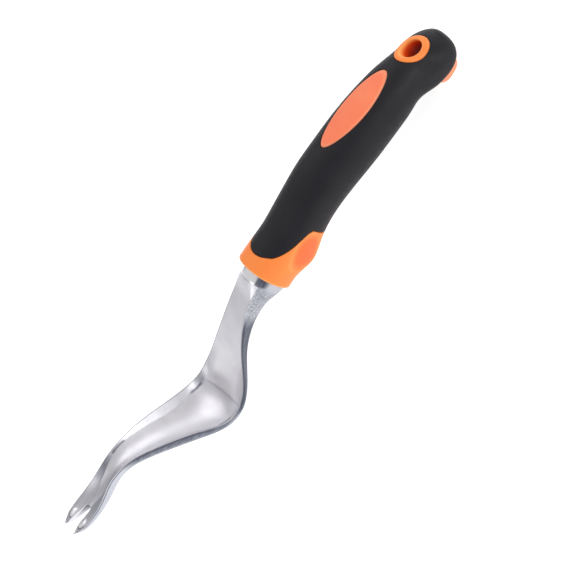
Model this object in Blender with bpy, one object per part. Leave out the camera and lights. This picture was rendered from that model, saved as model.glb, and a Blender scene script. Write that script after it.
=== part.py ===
"""Hand weeder: a cast aluminium head with a forked tip and a curved heel, on a two-colour handle.

Model coordinates are millimetres. X runs from the collar's front face (x = 0) to the tail,
so the head lies at negative x. Z is up, and y = 0 is the plane of symmetry. The tool lies with
its heel and its tail pad on the plane z = 0, thumb pad upwards. Every object hangs on one empty
that moves the middle of the tool's length to the world's origin.
"""

import math

import bmesh
import bpy
import numpy as np
from mathutils import Vector

MM = 0.001

# Overall lengths
TIP_X = -174.3
TAIL_X = 153.4
CENTRE_X = (TIP_X + TAIL_X) / 2
GAP = 0.3

# Head: the line of the rim (or of the top face's edge on the neck), from the tip to the boss.
# x, height of the rim, half-width, depth to the underside, depth of the scoop, bow of the flank
HEAD_STATIONS = (
    (-174.3, 53.2, 4.8, 0.9, 0.0, 0.0),
    (-171.6, 52.7, 6.6, 4.2, 0.0, 0.0),
    (-166.6, 51.8, 8.0, 7.0, 0.6, 0.0),
    (-159.6, 50.9, 8.2, 8.1, 1.9, 0.0),
    (-150.6, 50.5, 7.5, 8.8, 3.2, 0.0),
    (-139.6, 51.5, 6.3, 9.4, 3.8, 0.0),
    (-129.6, 50.9, 6.8, 9.6, 3.6, 0.0),
    (-119.7, 47.3, 8.4, 10.2, 3.8, 0.0),
    (-109.8, 40.2, 10.9, 11.2, 4.8, 0.0),
    (-99.0, 29.7, 13.7, 12.2, 6.0, 0.0),
    (-90.2, 19.9, 16.2, 12.2, 7.0, 0.0),
    (-83.4, 13.1, 18.4, 11.2, 7.0, 0.0),
    (-76.5, 10.1, 19.1, 10.2, 5.6, 0.0),
    (-68.4, 11.0, 18.6, 9.0, 1.6, -0.2),
    (-58.3, 15.2, 16.4, 7.8, 0.6, -1.0),
    (-47.2, 22.0, 12.8, 8.2, 0.4, -1.7),
    (-36.0, 28.1, 9.8, 10.4, 0.2, -1.4),
    (-26.0, 32.5, 8.1, 13.6, 0.0, 0.2),
    (-14.0, 35.7, 7.7, 17.2, -0.3, 2.4),
    (0.0, 37.4, 8.4, 21.0, -3.6, 3.6),
)
RIM_LAND = 1.5
NARROW_LAND_SHARE = 0.2
UNDERSIDE_POWER = 2.3

# Head: round boss under the collar and the tang inside the handle
BOSS_RADIUS = 12.2
BOSS_Z = 29.0
BOSS_BLEND_START_X = -16.0
BOSS_BLEND_END_X = 0.0
BOSS_END_X = 7.0
BOSS_CORNER_ANGLE = 45.0
TANG_START_X = 10.0
TANG_END_X = 96.0
TANG_ROOT_HALF = (7.5, 5.5)
TANG_TIP_HALF = (5.0, 3.6)
TANG_TIP_Z = 25.5
TANG_CORNER_POWER = 0.5
TANG_CHAMFER = 2.0
TANG_HOLES_X = (38.0, 66.0)
TANG_HOLE_RADIUS = 2.7
TANG_HOLE_SIDES = 12
PEG_BED = 1.5

# Head: the V notch between the prongs
NOTCH_APEX_X = -158.2
NOTCH_APEX_RADIUS = 2.0
NOTCH_HALF_MOUTH = 4.3
NOTCH_LOW_Z = 30.0
NOTCH_HIGH_Z = 60.0
NOTCH_FLARE_Z = 51.0
NOTCH_FLARE = 0.06
NOTCH_STEPS = 8

# Handle's outer surface: x, height of the top, height of the underside, half-width
HANDLE_STATIONS = (
    (0.0, 45.6, 15.4, 15.0),
    (8.0, 45.2, 14.8, 15.0),
    (14.0, 44.6, 12.5, 15.3),
    (19.0, 44.1, 11.0, 15.5),
    (25.0, 44.0, 11.9, 15.3),
    (33.0, 44.6, 14.3, 14.9),
    (45.0, 45.6, 15.8, 14.6),
    (58.0, 45.9, 15.3, 15.1),
    (72.0, 44.6, 13.3, 15.6),
    (86.0, 42.9, 11.2, 15.9),
    (100.0, 40.5, 9.5, 15.6),
    (113.0, 37.3, 8.2, 14.7),
    (122.0, 34.5, 7.6, 13.9),
    (129.0, 32.3, 4.2, 13.6),
    (135.0, 29.9, 2.9, 13.5),
    (142.0, 26.4, 2.6, 14.3),
    (151.5, 19.0, 2.6, 15.6),
)
SECTION_POWER = 2.1
COLLAR_ROUND = 1.2

# Domed tail: its sections change from the grip's shape to one with a low, square base
TAIL_ROUND_X = 136.0
TAIL_TOP_DOME = 3.0
TAIL_BASE_DOME = 2.2
TAIL_PLAN_DOME = 2.3
TAIL_Z = 12.0
TAIL_CHANGE_START_X = 116.0
TAIL_CHANGE_END_X = 138.0
TAIL_WAIST = 0.35
TAIL_TOP_POWER = 1.9
TAIL_BASE_POWER = 3.4

# Line between the collar and the grip: its x on top, how far it sweeps back in the arch down
# to the sides and in the wings, and the angles from the top between which the wings sweep
GRIP_LINE_TOP = 8.5
ARCH_SWEEP = 9.5
WING_SWEEP = 17.2
WING_START_ANGLE = 38.0
WING_END_ANGLE = 89.0
GRIP_LINE_RADIUS = 14.0
GRIP_THICKNESS = 3.0
CORE_END_X = 122.0

# Thumb pad, an almond let into the top of the grip
PAD_FRONT_X = 74.6
PAD_REAR_X = 123.8
PAD_HALF_WIDTH = 8.3
PAD_SKEW = 1.05
PAD_FULLNESS = 0.48
PAD_PROUD = 0.35
WINDOW_LOW_Z = 25.0
WINDOW_HIGH_Z = 60.0

# Hang hole at the tail
HOLE_X = 139.2
HOLE_RADIUS = 5.2
BUSH_RADIUS = 8.2
BUSH_PROUD = 0.7
BUSH_EDGE = 0.5
BUSH_LIP = 1.2

# Tail pad: a squarish foot under the tail, round the hole's lower mouth
FOOT_X = 138.0
FOOT_HALF_LENGTH = 9.0
FOOT_HALF_WIDTH = 11.4
FOOT_POWER = 2.8
FOOT_TAPER = 0.93
FOOT_CHAMFER = 0.7

# How far the cutters run past the metal or plastic they cut
CUT_REACH = 20.0

# Mesh density
OUTER_STEPS = 9
SCOOP_STEPS = 5
HEAD_STEP = 4.2
AROUND = 32
ALONG_GRIP = 34
ALONG_CORE = 16
COLLAR_STEPS = 5
GRIP_SPACING = 1.35
PAD_STEPS = 14
PAD_UNDER_SCALES = (0.05, 0.5, 1.0)
PAD_TOP_SCALES = (0.96, 0.75, 0.5, 0.05)
BUSH_SIDES = 28
FOOT_TOP_SHARES = (1.0, 0.85, 0.65, 0.35, 0.0)
SHARP_ANGLE = 35.0


def natural_spline(knots, values):
    """Return a function for the natural cubic spline through the knots."""
    knots = np.array(knots, float)
    values = np.array(values, float)
    width = np.diff(knots)
    count = len(knots)
    matrix = np.eye(count)
    right = np.zeros(count)
    for i in range(1, count - 1):
        matrix[i, i - 1:i + 2] = (width[i - 1], 2 * (width[i - 1] + width[i]), width[i])
        rise = (values[i + 1] - values[i]) / width[i] - (values[i] - values[i - 1]) / width[i - 1]
        right[i] = 6 * rise
    curve = np.linalg.solve(matrix, right)

    def value(x):
        x = min(max(x, knots[0]), knots[-1])
        i = min(int(np.searchsorted(knots, x, side="right")) - 1, count - 2)
        left = (knots[i + 1] - x) / width[i]
        rest = 1 - left
        bend = (left ** 3 - left) * curve[i] + (rest ** 3 - rest) * curve[i + 1]
        return left * values[i] + rest * values[i + 1] + bend * width[i] ** 2 / 6

    return value


def smooth_step(x, start, end):
    """Rise smoothly from 0 at start to 1 at end."""
    t = min(max((x - start) / (end - start), 0.0), 1.0)
    return t * t * (3 - 2 * t)



def columns(table):
    """Splines of a station table's columns against its first one."""
    cols = list(zip(*table))
    return [natural_spline(cols[0], col) for col in cols[1:]]


rim_z, rim_half, head_depth, scoop_depth, flank_bow = columns(HEAD_STATIONS)
handle_top, handle_bottom, handle_half = columns(HANDLE_STATIONS)


# ---------------------------------------------------------------- meshes

def new_object(name, bm, material, root):
    """Turn a bmesh in millimetres into an object hung on the root empty."""
    bmesh.ops.scale(bm, vec=Vector((MM, MM, MM)), verts=bm.verts)
    bmesh.ops.recalc_face_normals(bm, faces=bm.faces)
    mesh = bpy.data.meshes.new(name)
    bm.to_mesh(mesh)
    bm.free()
    mesh.shade_smooth()
    mesh.set_sharp_from_angle(angle=math.radians(SHARP_ANGLE))
    obj = bpy.data.objects.new(name, mesh)
    bpy.context.collection.objects.link(obj)
    obj.parent = root
    if material is not None:
        mesh.materials.append(material)
    return obj


def loft(rings):
    """Closed skin over a list of rings of equal length, with fans at both ends."""
    bm = bmesh.new()
    rows = [[bm.verts.new(point) for point in ring] for ring in rings]
    for low, high in zip(rows, rows[1:]):
        for i in range(len(low)):
            j = (i + 1) % len(low)
            bm.faces.new((low[i], low[j], high[j], high[i]))
    for row in (rows[0], rows[-1]):
        middle = sum((vert.co for vert in row), Vector()) / len(row)
        hub = bm.verts.new(middle)
        for i in range(len(row)):
            bm.faces.new((row[i], row[(i + 1) % len(row)], hub))
    return bm


def cylinder_mesh(radius, start, end, sides):
    """Closed cylinder between two points."""
    bm = bmesh.new()
    start = Vector(start)
    end = Vector(end)
    turn = (end - start).to_track_quat("Z", "Y").to_matrix().to_4x4()
    turn.translation = (start + end) / 2
    bmesh.ops.create_cone(bm, cap_ends=True, segments=sides, radius1=radius, radius2=radius,
                          depth=(end - start).length, matrix=turn)
    return bm


def cutter(name, bm, root):
    """Object used only by a Boolean."""
    obj = new_object(name, bm, None, root)
    obj.hide_render = True
    obj.display_type = "WIRE"
    return obj


def add_boolean(obj, other, operation):
    """Add an exact Boolean of obj with other."""
    boolean = obj.modifiers.new(operation.title(), "BOOLEAN")
    boolean.operation = operation
    boolean.solver = "EXACT"
    boolean.object = other


# ---------------------------------------------------------------- head

def head_section(x):
    """Half-ring of the blade or neck at x, as (y, height over the rim) from the
    underside's middle round the rim to the scoop's middle."""
    half = rim_half(x)
    depth = head_depth(x)
    scoop = scoop_depth(x)
    land = min(RIM_LAND, half * NARROW_LAND_SHARE)
    bow = flank_bow(x)
    points = []
    for i in range(OUTER_STEPS):
        angle = math.pi / 2 * (1 - i / OUTER_STEPS)
        y = half * math.cos(angle) ** (2 / UNDERSIDE_POWER)
        drop = depth * math.sin(angle) ** (2 / UNDERSIDE_POWER)
        y += bow * math.sin(math.pi * drop / depth) ** 2
        points.append((max(y, 0.0), -drop))
    points.append((half, 0.0))
    inner = half - land
    for i in range(SCOOP_STEPS):
        y = inner * (1 - i / SCOOP_STEPS)
        points.append((y, -scoop * (1 - (y / inner) ** 2)))
    points.append((0.0, -scoop))
    return points


def boss_section():
    """Half-ring of the round boss with the same point order as head_section."""
    corner = math.radians(BOSS_CORNER_ANGLE)
    points = []
    for i in range(OUTER_STEPS + 1):
        angle = -math.pi / 2 + (math.pi / 2 + corner) * i / OUTER_STEPS
        points.append((BOSS_RADIUS * math.cos(angle), BOSS_RADIUS * math.sin(angle)))
    for i in range(SCOOP_STEPS + 1):
        angle = corner + (math.pi / 2 - corner) * (i + 1) / (SCOOP_STEPS + 1)
        points.append((BOSS_RADIUS * math.cos(angle), BOSS_RADIUS * math.sin(angle)))
    points[0] = (0.0, -BOSS_RADIUS)
    points[-1] = (0.0, BOSS_RADIUS)
    return points


def tang_section(half_width, half_height):
    """Rounded rectangle with the same point order as head_section."""
    points = []
    for y, z in boss_section():
        angle = math.atan2(z, y)
        c = abs(math.cos(angle)) ** TANG_CORNER_POWER
        s = math.copysign(abs(math.sin(angle)) ** TANG_CORNER_POWER, z)
        points.append((half_width * c, half_height * s))
    points[0] = (0.0, -half_height)
    points[-1] = (0.0, half_height)
    return points


def full_ring(half_ring, x, z, tilt):
    """Mirror a half-ring and place it in the plane tilted about Y at (x, z)."""
    mirrored = [(-y, n) for y, n in reversed(half_ring[1:-1])]
    ring = []
    for y, n in list(half_ring) + mirrored:
        ring.append((x - n * math.sin(tilt), y, max(z + n * math.cos(tilt), 0.0)))
    return ring


def head_ring(x):
    """Ring of the head's visible part at x."""
    slope = (rim_z(x + 1) - rim_z(x - 1)) / 2
    blend = smooth_step(x, BOSS_BLEND_START_X, BOSS_BLEND_END_X)
    tilt = math.atan(slope) * (1 - blend)
    mixed = []
    for (y, n), (boss_y, boss_n) in zip(head_section(x), boss_section()):
        boss_n += BOSS_Z - rim_z(x)
        mixed.append((y + (boss_y - y) * blend, n + (boss_n - n) * blend))
    return full_ring(mixed, x, rim_z(x), tilt)


def tang_centre(x):
    """Height of the tang's middle at x."""
    t = (x - BOSS_END_X) / (TANG_END_X - BOSS_END_X)
    return BOSS_Z + (TANG_TIP_Z - BOSS_Z) * t


def tang_half(x):
    """Half-width and half-height of the tang at x."""
    t = (x - TANG_START_X) / (TANG_END_X - TANG_START_X)
    return [a + (b - a) * t for a, b in zip(TANG_ROOT_HALF, TANG_TIP_HALF)]


def head_mesh():
    """Blade, neck, boss and tang in one skin."""
    count = round((0 - TIP_X) / HEAD_STEP)
    rings = [head_ring(TIP_X + (0 - TIP_X) * i / count) for i in range(count + 1)]
    rings.append(full_ring(boss_section(), BOSS_END_X, BOSS_Z, 0.0))
    middle = (TANG_START_X + TANG_END_X) / 2
    for x in (TANG_START_X, middle, TANG_END_X - TANG_CHAMFER, TANG_END_X):
        cut = TANG_CHAMFER if x == TANG_END_X else 0.0
        wide, high = tang_half(x)
        rings.append(full_ring(tang_section(wide - cut, high - cut), x, tang_centre(x), 0.0))
    return loft(rings)


def notch_mesh():
    """Wedge with a round apex that cuts the V between the prongs, flaring downwards."""
    reach = NOTCH_APEX_X - TIP_X
    half_angle = math.atan((NOTCH_HALF_MOUTH - NOTCH_APEX_RADIUS) / reach)
    centre = NOTCH_APEX_X - NOTCH_APEX_RADIUS
    outline = []
    for i in range(NOTCH_STEPS + 1):
        angle = (math.pi / 2 - half_angle) * (1 - 2 * i / NOTCH_STEPS)
        outline.append((centre + NOTCH_APEX_RADIUS * math.cos(angle),
                        NOTCH_APEX_RADIUS * math.sin(angle)))
    far_x = TIP_X - CUT_REACH
    x, y = outline[0]
    far_y = y + (x - far_x) * math.tan(half_angle)
    outline.append((far_x, -far_y))
    outline.insert(0, (far_x, far_y))
    rings = []
    for z in (NOTCH_LOW_Z, NOTCH_FLARE_Z, NOTCH_HIGH_Z):
        widen = 1 + NOTCH_FLARE * max(NOTCH_FLARE_Z - z, 0.0)
        rings.append([(x, y * widen, z) for x, y in outline])
    return loft(rings)


def make_head(material, root):
    """The cast head with its notch and the tang's cross holes."""
    head = new_object("weeder_head", head_mesh(), material, root)
    add_boolean(head, cutter("notch_cutter", notch_mesh(), root), "DIFFERENCE")
    for i, x in enumerate(TANG_HOLES_X):
        hole = cylinder_mesh(TANG_HOLE_RADIUS, (x, -CUT_REACH, tang_centre(x)),
                             (x, CUT_REACH, tang_centre(x)), TANG_HOLE_SIDES)
        add_boolean(head, cutter(f"tang_hole_cutter_{i}", hole, root), "DIFFERENCE")
    return head


# ---------------------------------------------------------------- handle

def tail_factor(x, power):
    """Shrink of the sections towards the domed tail; a higher power is blunter."""
    t = min(max((x - TAIL_ROUND_X) / (TAIL_X - TAIL_ROUND_X), 0.0), 1.0)
    return max(1 - t ** power, 0.0) ** (1 / power)


def handle_size(x, inset):
    """Height of the handle's widest line at x, and the rise, drop and half-width from it."""
    top = TAIL_Z + (handle_top(x) - TAIL_Z) * tail_factor(x, TAIL_TOP_DOME)
    bottom = TAIL_Z + (handle_bottom(x) - TAIL_Z) * tail_factor(x, TAIL_BASE_DOME)
    share = 0.5 + (TAIL_WAIST - 0.5) * smooth_step(x, TAIL_CHANGE_START_X, TAIL_CHANGE_END_X)
    waist = bottom + (top - bottom) * share
    wide = handle_half(x) * tail_factor(x, TAIL_PLAN_DOME)
    return waist, top - waist - inset, waist - bottom - inset, wide - inset


def section_power(x, tail_power):
    """Squareness of one half of the handle's section at x."""
    change = smooth_step(x, TAIL_CHANGE_START_X, TAIL_CHANGE_END_X)
    return SECTION_POWER + (tail_power - SECTION_POWER) * change


def handle_point(x, angle, inset=0.0):
    """Point on the handle's surface; angle 0 points to +Y and 90 degrees upwards."""
    waist, rise, drop, wide = handle_size(x, inset)
    c = math.cos(angle)
    s = math.sin(angle)
    power = 2 / section_power(x, TAIL_TOP_POWER if s > 0 else TAIL_BASE_POWER)
    y = wide * math.copysign(abs(c) ** power, c)
    z = (rise if s > 0 else -drop) * abs(s) ** power
    return (x, y, waist + z)


def handle_height(x, y, inset=0.0):
    """Height of the handle's upper surface at (x, y)."""
    waist, rise, _, wide = handle_size(x, inset)
    power = section_power(x, TAIL_TOP_POWER)
    rest = max(1 - (abs(y) / wide) ** power, 0.0)
    return waist + rise * rest ** (1 / power)


def handle_base(x, y):
    """Height of the handle's underside at (x, y)."""
    waist, _, drop, wide = handle_size(x, 0.0)
    power = section_power(x, TAIL_BASE_POWER)
    rest = max(1 - (abs(y) / wide) ** power, 0.0)
    return waist - drop * rest ** (1 / power)


def grip_line(angle):
    """x of the line between collar and grip at an angle round the handle."""
    from_top = abs((math.degrees(angle) - 90 + 180) % 360 - 180)
    arch = ARCH_SWEEP * math.sin(math.radians(min(from_top, 90.0))) ** 2
    return GRIP_LINE_TOP + arch + WING_SWEEP * smooth_step(from_top, WING_START_ANGLE, WING_END_ANGLE)


def grip_front(angle):
    """x of the grip's front edge, a gap from the collar measured square to the line."""
    step = 0.01
    slope = (grip_line(angle + step) - grip_line(angle - step)) / (2 * step * GRIP_LINE_RADIUS)
    return grip_line(angle) + GAP * math.hypot(1, slope)


def angles(count):
    """Evenly spaced angles round the handle."""
    return [2 * math.pi * i / count for i in range(count)]


def core_mesh():
    """Collar and core, closed; the tang's cavity is cut afterwards."""
    inset = GRIP_THICKNESS + GAP
    around = angles(AROUND)
    rings = [[handle_point(0, a, COLLAR_ROUND) for a in around]]
    for i in range(COLLAR_STEPS + 1):
        t = i / COLLAR_STEPS
        rings.append([handle_point(COLLAR_ROUND + (grip_line(a) - COLLAR_ROUND) * t, a)
                      for a in around])
    for i in range(ALONG_CORE + 1):
        t = i / ALONG_CORE
        rings.append([handle_point(grip_line(a) + (CORE_END_X - grip_line(a)) * t, a, inset)
                      for a in around])
    return loft(rings)


def cavity_mesh():
    """Space that the boss and the tang fill inside the core."""
    def grown(half_ring, by):
        return [(y * by[0], z * by[1]) for y, z in half_ring]

    boss = (BOSS_RADIUS + GAP) / BOSS_RADIUS
    rings = []
    for x in (-CUT_REACH, BOSS_END_X + GAP):
        rings.append(full_ring(grown(boss_section(), (boss, boss)), x, BOSS_Z, 0.0))
    for x in (TANG_START_X + GAP, TANG_END_X + GAP):
        wide, high = tang_half(x)
        wide += 2 * GAP
        high += 2 * GAP
        rings.append(full_ring(tang_section(wide, high), x, tang_centre(x), 0.0))
    return loft(rings)


def make_core(material, root):
    """Collar and core, with pegs through the tang's cross holes."""
    core = new_object("handle_core", core_mesh(), material, root)
    add_boolean(core, cutter("cavity_cutter", cavity_mesh(), root), "DIFFERENCE")
    for i, x in enumerate(TANG_HOLES_X):
        reach = tang_half(x)[0] + PEG_BED
        peg = cylinder_mesh(TANG_HOLE_RADIUS - GAP, (x, -reach, tang_centre(x)),
                            (x, reach, tang_centre(x)), TANG_HOLE_SIDES)
        add_boolean(core, cutter(f"peg_{i}", peg, root), "UNION")
    return core


def grip_rows(a):
    """x positions of one column of the grip's outer skin, from its front edge to the tail."""
    front = grip_front(a)
    rows = []
    for i in range(ALONG_GRIP + 1):
        t = i / ALONG_GRIP
        rows.append(front + (TAIL_X - front) * math.sin(math.pi / 2 * t) ** GRIP_SPACING)
    return rows


def grip_mesh():
    """Grip as a thick sleeve whose tail is solid."""
    around = angles(AROUND)
    rows = [grip_rows(a) for a in around]
    inner_end = CORE_END_X + GAP
    rings = []
    for i in range(ALONG_CORE, -1, -1):
        t = i / ALONG_CORE
        rings.append([handle_point(grip_front(a) + (inner_end - grip_front(a)) * t, a,
                                   GRIP_THICKNESS) for a in around])
    for k in range(ALONG_GRIP):
        rings.append([handle_point(rows[i][k], a) for i, a in enumerate(around)])
    return loft(rings)


def almond(t, grow=0.0):
    """Half-width of the thumb pad's outline at t from 0 (front) to 1 (rear)."""
    return (PAD_HALF_WIDTH + grow) * math.sin(math.pi * t ** PAD_SKEW) ** PAD_FULLNESS


def pad_outline(grow):
    """Outline of the thumb pad seen from above, as (x, y)."""
    start = PAD_FRONT_X - grow
    end = PAD_REAR_X + grow
    side = []
    for i in range(1, PAD_STEPS):
        t = (1 - math.cos(math.pi * i / PAD_STEPS)) / 2
        side.append((start + (end - start) * t, almond(t, grow)))
    lower = [(x, -y) for x, y in reversed(side)]
    return [(start, 0.0)] + side + [(end, 0.0)] + lower


def pad_mesh():
    """Thumb pad: an almond plug between the core and the handle's outer surface."""
    outline = pad_outline(0.0)
    middle = ((PAD_FRONT_X + PAD_REAR_X) / 2, 0.0)
    inset = GRIP_THICKNESS - GAP
    rings = []
    for scale in PAD_UNDER_SCALES:
        rings.append([over_outline(middle, p, scale, inset, 0.0) for p in outline])
    rings.append([over_outline(middle, p, 1.0, 0.0, 0.0) for p in outline])
    for scale in PAD_TOP_SCALES:
        rings.append([over_outline(middle, p, scale, 0.0, PAD_PROUD) for p in outline])
    return loft(rings)


def over_outline(middle, point, scale, inset, rise):
    """Point of the outline drawn towards its middle, on the handle's upper surface."""
    x = middle[0] + (point[0] - middle[0]) * scale
    y = middle[1] + (point[1] - middle[1]) * scale
    return (x, y, handle_height(x, y, inset) + rise)


def circle(radius, count):
    """Points round the hang hole's axis, as (x, y)."""
    return [(HOLE_X + radius * math.cos(a), radius * math.sin(a)) for a in angles(count)]


def tube(rings):
    """Closed skin over rings that run round a through hole."""
    bm = bmesh.new()
    rows = [[bm.verts.new(point) for point in ring] for ring in rings]
    for low, high in zip(rows, rows[1:] + rows[:1]):
        for i in range(len(low)):
            j = (i + 1) % len(low)
            bm.faces.new((low[i], low[j], high[j], high[i]))
    return bm


def bush_mesh():
    """Liner of the hang hole, from the handle's underside to a rim laid over its sloping top."""
    rings = []
    for radius in (HOLE_RADIUS, BUSH_RADIUS):
        rings.append([(x, y, handle_base(x, y)) for x, y in circle(radius, BUSH_SIDES)])
    for radius, rise in ((BUSH_RADIUS, 0.0), (BUSH_RADIUS - BUSH_EDGE, BUSH_PROUD),
                         (HOLE_RADIUS + BUSH_LIP, BUSH_PROUD), (HOLE_RADIUS, -BUSH_LIP)):
        rings.append([(x, y, handle_height(x, y) + rise) for x, y in circle(radius, BUSH_SIDES)])
    return tube(rings)


def foot_outline(size, trim=0.0):
    """Outline of the tail pad seen from above: its size as a share, then trimmed all round."""
    def along(part, half):
        return math.copysign(abs(part) ** (2 / FOOT_POWER), part) * (half * size - trim)

    return [(FOOT_X + along(math.cos(a), FOOT_HALF_LENGTH), along(math.sin(a), FOOT_HALF_WIDTH))
            for a in angles(BUSH_SIDES)]


def tail_pad_mesh():
    """Pad round the hang hole's lower mouth: flat below, fitted to the grip's underside above."""
    mouth = circle(HOLE_RADIUS, BUSH_SIDES)
    outline = foot_outline(1.0)
    rings = []
    for row, z in ((mouth, FOOT_CHAMFER), (circle(HOLE_RADIUS + FOOT_CHAMFER, BUSH_SIDES), 0.0),
                   (foot_outline(FOOT_TAPER, FOOT_CHAMFER), 0.0),
                   (foot_outline(FOOT_TAPER), FOOT_CHAMFER)):
        rings.append([(x, y, z) for x, y in row])
    for share in FOOT_TOP_SHARES:
        row = [(a[0] + (b[0] - a[0]) * share, a[1] + (b[1] - a[1]) * share)
               for a, b in zip(mouth, outline)]
        rings.append([(x, y, handle_base(x, y) - GAP) for x, y in row])
    return tube(rings)


def make_grip(material, root):
    """Grip with the thumb pad's window and the hang hole."""
    grip = new_object("grip_overmould", grip_mesh(), material, root)
    window = [[(x, y, z) for x, y in pad_outline(GAP)] for z in (WINDOW_LOW_Z, WINDOW_HIGH_Z)]
    add_boolean(grip, cutter("window_cutter", loft(window), root), "DIFFERENCE")
    bore = cylinder_mesh(BUSH_RADIUS + GAP, (HOLE_X, 0, -CUT_REACH),
                         (HOLE_X, 0, handle_top(HOLE_X) + CUT_REACH), BUSH_SIDES)
    add_boolean(grip, cutter("bore_cutter", bore, root), "DIFFERENCE")
    return grip


# ---------------------------------------------------------------- assembly

def plain_material(name, colour, roughness, metallic=0.0):
    """Principled material of one colour."""
    material = bpy.data.materials.new(name)
    material.use_nodes = True
    shader = material.node_tree.nodes["Principled BSDF"]
    shader.inputs["Base Color"].default_value = (*colour, 1.0)
    shader.inputs["Roughness"].default_value = roughness
    shader.inputs["Metallic"].default_value = metallic
    return material


def clear_scene():
    """Remove whatever the file opened with."""
    for obj in list(bpy.data.objects):
        bpy.data.objects.remove(obj, do_unlink=True)


def main():
    """Build the weeder."""
    clear_scene()
    root = bpy.data.objects.new("weeder_origin", None)
    root.location = (-CENTRE_X * MM, 0.0, 0.0)
    bpy.context.collection.objects.link(root)

    aluminium = plain_material("cast_aluminium", (0.66, 0.66, 0.69), 0.28, 1.0)
    orange = plain_material("orange_polypropylene", (1.0, 0.27, 0.06), 0.42)
    coral = plain_material("orange_elastomer", (1.0, 0.22, 0.11), 0.5)
    black = plain_material("black_elastomer", (0.03, 0.03, 0.034), 0.55)

    make_head(aluminium, root)
    make_core(orange, root)
    make_grip(black, root)
    new_object("thumb_pad", pad_mesh(), coral, root)
    new_object("hang_hole_bush", bush_mesh(), orange, root)
    new_object("tail_pad", tail_pad_mesh(), coral, root)


main()
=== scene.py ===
"""Looks of the hand weeder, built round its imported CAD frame.

Shapes are worked out in millimetres in the tool's own frame: x = 0 is the collar's front face,
the head lies at negative x, y = 0 is the plane of symmetry and z = 0 the plane the tool rests on.
place() moves them into the row frame, in metres. Angles round the handle start at +Y and pass
through the top at 90 degrees.
"""

import math

import bmesh
import bpy
import numpy as np
from mathutils import Matrix, Vector


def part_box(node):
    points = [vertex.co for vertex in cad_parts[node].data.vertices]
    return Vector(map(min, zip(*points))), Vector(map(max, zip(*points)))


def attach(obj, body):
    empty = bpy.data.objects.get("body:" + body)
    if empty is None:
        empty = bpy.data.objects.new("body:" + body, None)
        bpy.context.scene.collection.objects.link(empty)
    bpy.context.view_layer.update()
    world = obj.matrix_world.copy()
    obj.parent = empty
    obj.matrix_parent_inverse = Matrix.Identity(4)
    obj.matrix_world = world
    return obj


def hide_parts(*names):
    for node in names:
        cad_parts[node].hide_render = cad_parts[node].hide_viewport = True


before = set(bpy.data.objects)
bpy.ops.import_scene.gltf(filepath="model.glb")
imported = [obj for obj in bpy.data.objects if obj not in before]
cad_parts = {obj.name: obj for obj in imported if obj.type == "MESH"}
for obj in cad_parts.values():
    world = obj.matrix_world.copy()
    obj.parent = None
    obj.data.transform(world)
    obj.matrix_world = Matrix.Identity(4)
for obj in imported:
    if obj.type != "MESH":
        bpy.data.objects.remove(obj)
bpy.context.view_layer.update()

MM = 0.001
COLLAR_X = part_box("handle_core")[0].x
TIP_X = (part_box("weeder_head")[0].x - COLLAR_X) / MM
TAIL_X = (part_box("grip_overmould")[1].x - COLLAR_X) / MM
GAP = 0.3

# Head: x, height of the rim, half-width, depth, depth of the scoop, bow of the flank
HEAD_STATIONS = (
    (TIP_X, 53.2, 4.8, 0.9, 0.0, 0.0),
    (-171.6, 52.7, 6.6, 4.2, 0.0, 0.0),
    (-166.6, 51.8, 8.0, 7.0, 0.6, 0.0),
    (-159.6, 50.9, 8.2, 8.1, 1.9, 0.0),
    (-150.6, 50.5, 7.5, 8.8, 3.2, 0.0),
    (-139.6, 51.5, 6.3, 9.4, 3.8, 0.0),
    (-129.6, 50.9, 6.8, 9.6, 3.6, 0.0),
    (-119.7, 47.3, 8.4, 10.2, 3.8, 0.0),
    (-109.8, 40.2, 10.9, 11.2, 4.8, 0.0),
    (-99.0, 29.7, 13.7, 12.2, 6.0, 0.0),
    (-90.2, 19.9, 16.2, 12.2, 7.0, 0.0),
    (-83.4, 13.1, 18.4, 11.2, 7.0, 0.0),
    (-76.5, 10.1, 19.1, 10.2, 5.6, 0.0),
    (-68.4, 11.0, 18.6, 9.0, 1.6, -0.2),
    (-58.3, 15.2, 16.4, 7.8, 0.6, -1.0),
    (-47.2, 22.0, 12.8, 8.2, 0.4, -1.7),
    (-36.0, 28.1, 9.8, 10.4, 0.2, -1.4),
    (-26.0, 32.5, 8.1, 13.6, 0.0, 0.2),
    (-14.0, 35.7, 7.7, 17.2, -0.3, 2.4),
    (0.0, 37.4, 8.4, 21.0, -3.6, 3.6),
)
# Where the scoop's walls meet its floor, as a share of its half-width
CREASE_STATIONS = (
    (TIP_X, 0.1), (-162.0, 0.12), (-154.0, 0.22), (-147.0, 0.42), (-138.0, 0.62),
    (-131.0, 0.8), (-126.0, 0.88), (-117.0, 0.86), (-108.0, 0.76), (-100.0, 0.7),
    (-92.0, 0.72), (-86.0, 0.82), (-78.0, 0.84), (-68.0, 0.88), (0.0, 0.9),
)
# Undercut below the rim, with painted shade in it: x, how far below the rim, its width
LIP_STATIONS = (
    (TIP_X, 0.8, 0.3), (-150.0, 0.9, 0.35), (-130.0, 1.0, 0.5), (-118.0, 0.8, 0.8),
    (-104.0, 0.7, 1.0), (-94.0, 0.7, 0.9), (-87.0, 1.6, 0.4), (-80.0, 1.0, 0.4),
    (-70.0, 0.8, 0.6), (-60.0, 0.8, 0.8), (-45.0, 0.9, 1.1), (-34.0, 1.0, 0.9),
    (-24.0, 1.0, 0.6), (0.0, 1.0, 0.5),
)
LIP_BEGINS = (-170.5, -167.5)
LIP_ENDS = (-34.0, -24.0)
LIP_DEPTH = 0.22
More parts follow.
